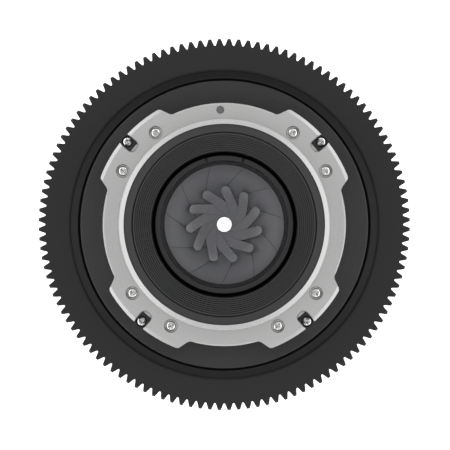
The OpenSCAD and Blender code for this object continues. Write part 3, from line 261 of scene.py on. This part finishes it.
# anodised aluminium faced on a lathe: black, with a sheen that spreads across the tool marks
turnedSpec = {"pitch": 0.3 * mm, "streak": 1.5, "scale": 1.0,   # marks of 0.05 mm, drawn at 0.3 mm to show
              "rough": (0.34, 0.46), "shades": ("#232324", "#2c2c2d"),
              # the last entry paints shade into the notches and round the flange's edge
              "relief": 0.25, "height": 0.02 * mm, "recess": (4 * mm, "#050505", 0.35, 0.8)}
turnedBlack = newFinish("black_anodised_aluminium_turned",
                        {"Specular IOR Level": 0.55, "Anisotropic": 0.9, "Anisotropic Rotation": 0.25},
                        turnedSpec)
turnedTree = turnedBlack.node_tree
tangent = addNode(turnedTree, "ShaderNodeTangent", {"direction_type": "RADIAL", "axis": "Z"})
turnedTree.links.new(tangent.outputs["Tangent"], turnedTree.nodes["Principled BSDF"].inputs["Tangent"])
dress(turnedBlack, "rear_base")

# anodised aluminium, bead-blasted first: an even satin black with a very fine grain
satinSpec = {"scale": 1 / (0.35 * mm), "rough": (0.46, 0.58), "shades": ("#131314", "#19191a"),
             "relief": 0.12, "height": 0.03 * mm}
satinBlack = newFinish("black_anodised_aluminium_satin", {"Specular IOR Level": 0.4}, satinSpec)
dress(satinBlack, "iris_ring", "focus_ring", "main_barrel", "front_ring", "iris_ring_nut")

# anodised aluminium left matt inside the tube, with faint rings from the tool
mattSpec = {"pitch": 0.25 * mm, "streak": 1.0, "scale": 1.0,
            "rough": (0.55, 0.7), "shades": ("#171718", "#1e1e1f"), "relief": 0.2, "height": 0.02 * mm}
mattBlack = newFinish("black_anodised_aluminium_matt", {"Specular IOR Level": 0.4}, mattSpec)
dress(mattBlack, "rear_spacer", "iris_case", "iris_cover", "iris_cam_ring", "focus_cell", "focus_cam_tube",
      "focus_key", "focus_spacer", "focus_retaining_ring", "front_cell", "front_retaining_ring",
      "front_inner_ring")

# matt black lacquer on the turned baffle and spacer that face the camera: dark grey in the light
lacquerSpec = {"pitch": 0.25 * mm, "streak": 1.0, "scale": 1.0,
               "rough": (0.5, 0.65), "shades": ("#363637", "#404041"),
               # the last entry paints shade into the ribs, steps and corners
               "relief": 0.25, "height": 0.02 * mm, "recess": (0.8 * mm, "#101010", 0.35, 0.85)}
baffleLacquer = newFinish("black_lacquer_matt", {"Specular IOR Level": 0.45}, lacquerSpec)
dress(baffleLacquer, "rear_baffle")

# brass ring, chemically blackened: a dark satin, with painted shade darkening its corners
oxideSpec = {"pitch": 0.25 * mm, "streak": 1.0, "scale": 1.0,
             "rough": (0.45, 0.6), "shades": ("#1d1d1e", "#242425"),
             "relief": 0.2, "height": 0.02 * mm, "recess": (0.8 * mm, "#080808", 0.35, 0.85)}
blackOxide = newFinish("brass_blackened", {"Specular IOR Level": 0.45}, oxideSpec)
dress(blackOxide, "rear_retaining_ring")

# light-trap black in the gap round the rear glass: it gives back almost nothing, and its near-black is also
# painted shade standing in for the depth of that gap
trapSpec = {"scale": 1 / (0.3 * mm), "rough": (0.8, 0.95), "shades": ("#040404", "#070707"),
            "relief": 0.2, "height": 0.02 * mm}
flockAndShadeBlack = newFinish("black_flock_paint_and_gap_shade", {"Specular IOR Level": 0.08}, trapSpec)
dress(flockAndShadeBlack, "rear_cell")

# stainless steel, finely bead-blasted: bright, even, with a soft grain
blastedSpec = {"scale": 1 / (0.3 * mm), "detail": 3.0, "rough": (0.3, 0.4), "shades": ("#babab9", "#c9c9c9"),
               # the last entry paints shade into the counterbores round the screw heads and other gaps
               "relief": 0.1, "height": 0.02 * mm, "recess": (0.8 * mm, "#7c7c7c", 0.3, 0.9)}
blastedSteel = newFinish("stainless_steel_blasted", {"Metallic": 1.0}, blastedSpec)
dress(blastedSteel, "mount_flange")

# nickel-plated steel screws: almost a mirror, with slight clouding
platedSpec = {"scale": 1 / (0.4 * mm), "rough": (0.12, 0.22), "shades": ("#d4d4d2", "#e2e2e0"),
              "relief": 0.05, "height": 0.01 * mm}
platedSteel = newFinish("nickel_plated_steel", {"Metallic": 1.0}, platedSpec)
dress(platedSteel, "mount_screws", "base_screws", "front_ring_screws", "follower_screws")

# blackened steel pins: dark grey, a little glossy
blackenedSpec = {"scale": 1 / (0.3 * mm), "rough": (0.35, 0.5), "shades": ("#727275", "#808083"),
                 "relief": 0.1, "height": 0.01 * mm}
blackenedSteel = newFinish("steel_blackened", {"Metallic": 1.0}, blackenedSpec)
dress(blackenedSteel, "mount_dowel", "iris_stop_pin", "focus_stop_pin", "iris_drive_pin")

# machined brass: warm yellow with tool rings
brassSpec = {"pitch": 0.2 * mm, "streak": 1.0, "scale": 1.0,
             "rough": (0.25, 0.38), "shades": ("#b8934a", "#cba75e"), "relief": 0.15, "height": 0.02 * mm}
machinedBrass = newFinish("brass_machined", {"Metallic": 1.0}, brassSpec)
dress(machinedBrass, "flange_shim", "cam_followers")

# spring steel rolled thin, with a grey dry film: satin, with painted shade where the blades overlap and
# along the wall round them
bladeSpec = {"scale": 1 / (0.5 * mm), "rough": (0.42, 0.5), "shades": ("#8a8a8d", "#949497"),
             "relief": 0.05, "height": 0.01 * mm, "recess": (1.5 * mm, "#4a4a4c", 0.5, 0.8),
             "outwardTone": ("#c4c4c6", 8 * mm, 14 * mm), "count": 11}
bladeSteel = newFinish("spring_steel_satin", {"Metallic": 0.35}, bladeSpec)
dress(bladeSteel, *["iris_blade_%02d" % (blade + 1) for blade in range(bladeSpec["count"])])

# nitrile rubber, moulded: a dull black skin
rubberSpec = {"scale": 1 / (0.4 * mm), "rough": (0.6, 0.75), "shades": ("#131313", "#1a1a1a"),
              "relief": 0.2, "height": 0.02 * mm}
sealRubber = newFinish("nitrile_rubber_moulded", {"Specular IOR Level": 0.4}, rubberSpec)
dress(sealRubber, "rear_seal")

# acetal bushes, turned: milky white
acetalSpec = {"pitch": 0.25 * mm, "streak": 1.0, "scale": 1.0,
              "rough": (0.35, 0.5), "shades": ("#d9d5ca", "#e6e2d8"), "relief": 0.1, "height": 0.02 * mm}
turnedAcetal = newFinish("acetal_turned", {"Specular IOR Level": 0.5}, acetalSpec)
dress(turnedAcetal, "iris_ring_bush", "focus_bush_rear", "focus_bush_front")

# white enamel wiped into the engraving: soft white, slightly uneven
enamelSpec = {"scale": 1 / (0.3 * mm), "rough": (0.45, 0.6), "shades": ("#e4e4e0", "#f0f0ec"),
              "relief": 0.1, "height": 0.01 * mm}
whiteEnamel = newFinish("white_enamel_fill", {"Specular IOR Level": 0.5}, enamelSpec)

# coated optical glass: clear, with a weak blue-violet reflection that grows towards grazing angles
glassSpec = {"tint": "#ffffff", "coat": "#c4ccf4", "rough": 0.03,
             "ior": 1.09}   # far below the glass's own, because the coating stops most of its reflection
coatedGlass = bpy.data.materials.new("optical_glass_coated")
coatedGlass.use_nodes = True
glassTree = coatedGlass.node_tree
glassTree.nodes.remove(glassTree.nodes["Principled BSDF"])
clear = addNode(glassTree, "ShaderNodeBsdfTransparent", {"Color": srgb(glassSpec["tint"])})
gloss = addNode(glassTree, "ShaderNodeBsdfGlossy",
                {"Color": srgb(glassSpec["coat"]), "Roughness": glassSpec["rough"]})
fresnel = addNode(glassTree, "ShaderNodeFresnel", {"IOR": glassSpec["ior"]})
mixed = addNode(glassTree, "ShaderNodeMixShader", {}, {0: (fresnel, 0), 1: (clear, 0), 2: (gloss, 0)})
glassTree.links.new(mixed.outputs[0], glassTree.nodes["Material Output"].inputs["Surface"])
dress(coatedGlass, "rear_element_1", "rear_element_2", "rear_element_3", "focus_element_1",
      "focus_element_2", "focus_element_3", "front_element_1", "front_element_2")
print("materials ready, undressed:", sorted(undressed))


def pickFaces(test):
    mesh = bmesh.from_edit_mesh(bpy.context.object.data)
    for face in mesh.faces:
        face.select_set(bool(test(face)))
    bmesh.update_edit_mesh(bpy.context.object.data)


def applyModifier(kind, settings):
    bpy.ops.object.modifier_add(type=kind)
    modifier = bpy.context.object.modifiers[-1]
    for name, value in settings.items():
        setattr(modifier, name, value)
    bpy.ops.object.modifier_apply(modifier=modifier.name)


def joinPieces(pieces):
    bpy.ops.object.select_all(action="DESELECT")
    for piece in pieces:
        piece.select_set(True)
    bpy.context.view_layer.objects.active = pieces[0]
    bpy.ops.object.join()
    return pieces[0]


def turnOutwards():
    bpy.ops.mesh.select_all(action="SELECT")
    bpy.ops.mesh.normals_make_consistent(inside=False)
    bpy.ops.object.mode_set(mode="OBJECT")


def settle(piece, name, material, body):
    bpy.ops.object.select_all(action="DESELECT")
    piece.select_set(True)
    bpy.context.view_layer.objects.active = piece
    bpy.ops.object.transform_apply(location=True, rotation=True, scale=True)
    piece.name = name
    piece.data.name = name
    piece.data.materials.clear()
    piece.data.materials.append(material)
    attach(piece, body)


# cross-recess screws: a washer face, a low domed head, a tapered cross and a plain shank
mountScrew = {"head": 2.6 * mm, "height": 1.2 * mm, "shank": 1.6 * mm, "cross": 1.9 * mm, "wing": 0.42 * mm,
              "deep": 0.5 * mm, "dome": ((0.1, 0.12), (0.25, 0.11), (0.35, 0.06)), "bevel": 0.035 * mm,
              "brim": 3.3 * mm, "brimHeight": 0.55 * mm}
baseScrew = {"head": 2.5 * mm, "height": 1.0 * mm, "shank": 1.6 * mm, "cross": 1.8 * mm, "wing": 0.42 * mm,
             "deep": 0.5 * mm, "dome": ((0.08, 0.1), (0.2, 0.09), (0.3, 0.05)), "bevel": 0.03 * mm,
             "brim": 2.5 * mm, "brimHeight": 0.0}
screwForm = {"corners": 40, "taper": (0.45, 0.55, 1), "facing": 0.9, "bevelFrom": 40, "smoothTo": 35}
screwRing = {"ears": (40.5, 139.5, 229.5, 310.5), "spread": 12.7, "mountRadius": 29.6 * mm,
             "baseRadius": 33.3 * mm, "mountTwist": (18, 62, 41, 75, 8, 52, 27, 68),
             "baseTwist": (35, 70, 15, 55)}


def modelScrew(spec, length):
    domeRise = sum(rise for inset, rise in spec["dome"]) * mm
    side = spec["height"] - domeRise - spec["brimHeight"]
    bpy.ops.object.select_all(action="DESELECT")
    bpy.ops.mesh.primitive_cylinder_add(vertices=screwForm["corners"], radius=spec["head"] / 2, depth=side,
                                        location=(0, 0, -domeRise - side / 2))
    screw = bpy.context.object
    bpy.ops.object.transform_apply(location=True)
    bpy.ops.object.mode_set(mode="EDIT")
    bpy.ops.mesh.select_mode(type="FACE")
    pickFaces(lambda face: face.normal.z > screwForm["facing"])
    for inset, rise in spec["dome"]:
        bpy.ops.mesh.inset(thickness=inset * mm, depth=rise * mm)
    pickFaces(lambda face: face.normal.z < -screwForm["facing"])
    if spec["brimHeight"] > 0:
        wider = spec["brim"] / spec["head"]
        bpy.ops.mesh.extrude_region_move()
        bpy.ops.transform.resize(value=(wider, wider, 1))
        bpy.ops.mesh.extrude_region_move(TRANSFORM_OT_translate={"value": (0, 0, -spec["brimHeight"])})
    bpy.ops.mesh.inset(thickness=(spec["brim"] - spec["shank"]) / 2)
    bpy.ops.mesh.extrude_region_move(TRANSFORM_OT_translate={"value": (0, 0, spec["height"] - length)})
    bpy.ops.object.mode_set(mode="OBJECT")

    bpy.ops.mesh.primitive_cube_add(size=1)
    cutter = bpy.context.object
    cutter.scale = (spec["cross"], spec["wing"], 2 * spec["deep"])
    bpy.ops.object.transform_apply(scale=True)
    bpy.ops.object.mode_set(mode="EDIT")
    pickFaces(lambda face: face.normal.z < -screwForm["facing"])
    bpy.ops.transform.resize(value=screwForm["taper"])
    bpy.ops.mesh.select_all(action="SELECT")
    bpy.ops.mesh.duplicate()
    bpy.ops.transform.rotate(value=math.pi / 2, orient_axis="Z", center_override=(0, 0, 0))
    bpy.ops.object.mode_set(mode="OBJECT")

    bpy.ops.object.select_all(action="DESELECT")
    screw.select_set(True)
    bpy.context.view_layer.objects.active = screw
    applyModifier("BOOLEAN", {"object": cutter, "operation": "DIFFERENCE", "solver": "EXACT",
                              "use_self": True})
    bpy.data.objects.remove(cutter)
    applyModifier("BEVEL", {"width": spec["bevel"], "segments": 2, "limit_method": "ANGLE",
                            "angle_limit": math.radians(screwForm["bevelFrom"])})
    bpy.ops.object.shade_smooth_by_angle(angle=math.radians(screwForm["smoothTo"]))
    return screw


def placeScrews(name, node, spec, places, twists):
    low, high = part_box(node)
    screw = modelScrew(spec, high.z - low.z)
    copies = []
    for (angle, radius), twist in zip(places, twists):
        copy = screw.copy()
        copy.data = screw.data.copy()
        scene.collection.objects.link(copy)
        outwards = Matrix.Translation((radius, 0, high.z)) @ Matrix.Rotation(math.radians(twist), 4, "Z")
        copy.data.transform(Matrix.Rotation(math.radians(angle), 4, "Z") @ outwards)
        copies.append(copy)
    bpy.data.objects.remove(screw)
    piece = joinPieces(copies)
    settle(piece, name, platedSteel, "lens_body")
    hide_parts(node)


mountPlaces = [(ear + side * screwRing["spread"], screwRing["mountRadius"])
               for ear in screwRing["ears"] for side in (-1, 1)]
basePlaces = [(ear, screwRing["baseRadius"]) for ear in screwRing["ears"]]
placeScrews("mount_screw_set", "mount_screws", mountScrew, mountPlaces, screwRing["mountTwist"])
placeScrews("base_screw_set", "base_screws", baseScrew, basePlaces, screwRing["baseTwist"])
print("screws placed")

# spacer behind the rear glass: its bore narrows in steps that catch stray light
stepSpacer = {"bore": 16.4 * mm, "steps": 3, "shelf": 0.25 * mm, "rearClear": 1.4 * mm,
              "frontClear": 1.5 * mm, "corners": 192, "merge": 0.001 * mm, "smoothTo": 30}


def runLoop(fromRadius, toRadius, drop):
    bpy.ops.mesh.extrude_region_move(TRANSFORM_OT_translate={"value": (0, 0, -drop)})
    share = toRadius / fromRadius
    bpy.ops.transform.resize(value=(share, share, 1), center_override=(0, 0, 0))


spacerLow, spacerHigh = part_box("rear_spacer")
spacerRadius = (spacerHigh.x - spacerLow.x) / 2
spacerLength = spacerHigh.z - spacerLow.z
stepLength = (spacerLength - stepSpacer["rearClear"] - stepSpacer["frontClear"]) / (stepSpacer["steps"] + 1)
bpy.ops.object.select_all(action="DESELECT")
bpy.ops.mesh.primitive_circle_add(vertices=stepSpacer["corners"], radius=spacerRadius,
                                  location=(0, 0, spacerHigh.z))
spacer = bpy.context.object
bpy.ops.object.transform_apply(location=True)
bpy.ops.object.mode_set(mode="EDIT")
bpy.ops.mesh.select_mode(type="EDGE")
bpy.ops.mesh.select_all(action="SELECT")
runLoop(spacerRadius, stepSpacer["bore"], stepSpacer["rearClear"])
stepRadius = stepSpacer["bore"]
for count in range(stepSpacer["steps"]):
    runLoop(stepRadius, stepRadius, stepLength)
    runLoop(stepRadius, stepRadius - stepSpacer["shelf"], 0)
    stepRadius -= stepSpacer["shelf"]
runLoop(stepRadius, stepRadius, stepLength)
runLoop(stepRadius, spacerRadius, stepSpacer["frontClear"])
runLoop(spacerRadius, spacerRadius, -spacerLength)
bpy.ops.mesh.select_all(action="SELECT")
bpy.ops.mesh.remove_doubles(threshold=stepSpacer["merge"])
turnOutwards()
bpy.ops.object.shade_smooth_by_angle(angle=math.radians(stepSpacer["smoothTo"]))
settle(spacer, "rear_spacer_stepped", baffleLacquer, "lens_body")
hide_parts("rear_spacer")
print("spacer stepped")

# figures and lines, cut into the rings and filled with enamel: they lie on the ring's skin
engraving = {"radius": 45.5 * mm, "proud": 0.03 * mm, "sunk": 0.05 * mm, "line": 0.32 * mm,
             "lineCuts": 2, "figure": 3.3 * mm, "roundness": 4, "merge": 1e-4 * mm, "sides": (0, 180)}
distanceScale = {"tickTop": -57.0 * mm, "tick": 2.4 * mm, "figureHeight": -61.9 * mm,
                 "marks": ((0, "∞"), (-14, "10"), (-28.2, "5"), (-47.5, "3"), (-72.3, "2"),
                           (-97.9, "1.5"), (-124.3, "1.2"), (-151.4, "1"), (-170, "0.9"))}
stopScale = {"tickTop": -39.5 * mm, "tick": -2.4 * mm, "figureHeight": -34.6 * mm,
             "marks": ((0, "16"), (10, "11"), (20, "8"), (30, "5.6"), (40, "4"), (50, "2.8"), (60, "2"))}
indexLine = {"from": -41.2 * mm, "to": -55.2 * mm, "width": 0.4 * mm}
fillDepth = engraving["proud"] + engraving["sunk"]
fillMiddle = (engraving["proud"] - engraving["sunk"]) / 2


def modelFigure(text):
    bpy.ops.object.select_all(action="DESELECT")
    bpy.ops.object.text_add()
    figure = bpy.context.object
    figure.data.body = text
    figure.data.size = engraving["figure"]
    figure.data.align_x, figure.data.align_y = "CENTER", "CENTER"
    figure.data.extrude = fillDepth / 2
    figure.data.resolution_u = engraving["roundness"]
    bpy.ops.object.convert(target="MESH")
    bpy.ops.object.mode_set(mode="EDIT")
    bpy.ops.mesh.select_all(action="SELECT")
    bpy.ops.mesh.remove_doubles(threshold=engraving["merge"])
    bpy.ops.transform.translate(value=(0, 0, fillMiddle))
    bpy.ops.object.mode_set(mode="OBJECT")
    return figure


def modelLine(length, width):
    bpy.ops.object.select_all(action="DESELECT")
    bpy.ops.mesh.primitive_cube_add(size=1)
    line = bpy.context.object
    line.scale = (width, abs(length), fillDepth)
    line.location = (0, length / 2, fillMiddle)
    bpy.ops.object.transform_apply(location=True, scale=True)
    bpy.ops.object.mode_set(mode="EDIT")
    bpy.ops.mesh.select_all(action="SELECT")
    bpy.ops.mesh.subdivide(number_cuts=engraving["lineCuts"])
    bpy.ops.object.mode_set(mode="OBJECT")
    return line


def wrapCopies(flat, turned, height):
    # a flat figure or line is copied to each side of the lens and wrapped round the ring
    copies = []
    for side in engraving["sides"]:
        copy = flat.copy()
        copy.data = flat.data.copy()
        scene.collection.objects.link(copy)
        for vertex in copy.data.vertices:
            along, up, out = vertex.co
            turn = math.radians(side + turned) - along / engraving["radius"]
            radius = engraving["radius"] + out
            vertex.co = (radius * math.cos(turn), radius * math.sin(turn), height - up)
        copies.append(copy)
    return copies


def engraveScale(scale, name, body):
    tick = modelLine(scale["tick"], engraving["line"])
    pieces = []
    for turned, text in scale["marks"]:
        figure = modelFigure(text)
        pieces += wrapCopies(tick, turned, scale["tickTop"])
        pieces += wrapCopies(figure, turned, scale["figureHeight"])
        bpy.data.objects.remove(figure)
    bpy.data.objects.remove(tick)
    fillEngraving(pieces, name, body)


def fillEngraving(pieces, name, body):
    piece = joinPieces(pieces)
    bpy.ops.object.mode_set(mode="EDIT")
    turnOutwards()
    settle(piece, name, whiteEnamel, body)


engraveScale(distanceScale, "distance_scale", "focus_ring_body")
engraveScale(stopScale, "stop_scale", "iris_ring_body")
indexMark = modelLine(indexLine["from"] - indexLine["to"], indexLine["width"])
indexPieces = wrapCopies(indexMark, 0, indexLine["from"])
bpy.data.objects.remove(indexMark)
fillEngraving(indexPieces, "index_lines", "lens_body")
print("scales engraved")

# filter thread: one ridge with three sides, wound inside the front ring
filterThread = {"radius": 43.0 * mm, "depth": 0.5 * mm, "pitch": 1.0 * mm, "turns": 3, "start": -114.2 * mm,
                "steps": 150, "sides": 3}
ridgeRadius = filterThread["depth"] / 1.5   # a triangle's centre is two thirds of its height from a corner
ridgeCentre = filterThread["radius"] - filterThread["depth"] / 3
bpy.ops.object.select_all(action="DESELECT")
bpy.ops.mesh.primitive_circle_add(vertices=filterThread["sides"], radius=ridgeRadius, fill_type="NOTHING",
                                  rotation=(math.pi / 2, -math.pi / 2, 0),
                                  location=(ridgeCentre, 0, filterThread["start"]))
thread = bpy.context.object
bpy.ops.object.transform_apply(location=True, rotation=True)
applyModifier("SCREW", {"axis": "Z", "angle": 2 * math.pi, "screw_offset": filterThread["pitch"],
                        "iterations": filterThread["turns"], "steps": filterThread["steps"],
                        "render_steps": filterThread["steps"]})
bpy.ops.object.mode_set(mode="EDIT")
bpy.ops.mesh.select_all(action="SELECT")
bpy.ops.mesh.fill_holes(sides=filterThread["sides"])
turnOutwards()
settle(thread, "filter_thread_ridge", satinBlack, "lens_body")
print("thread wound")
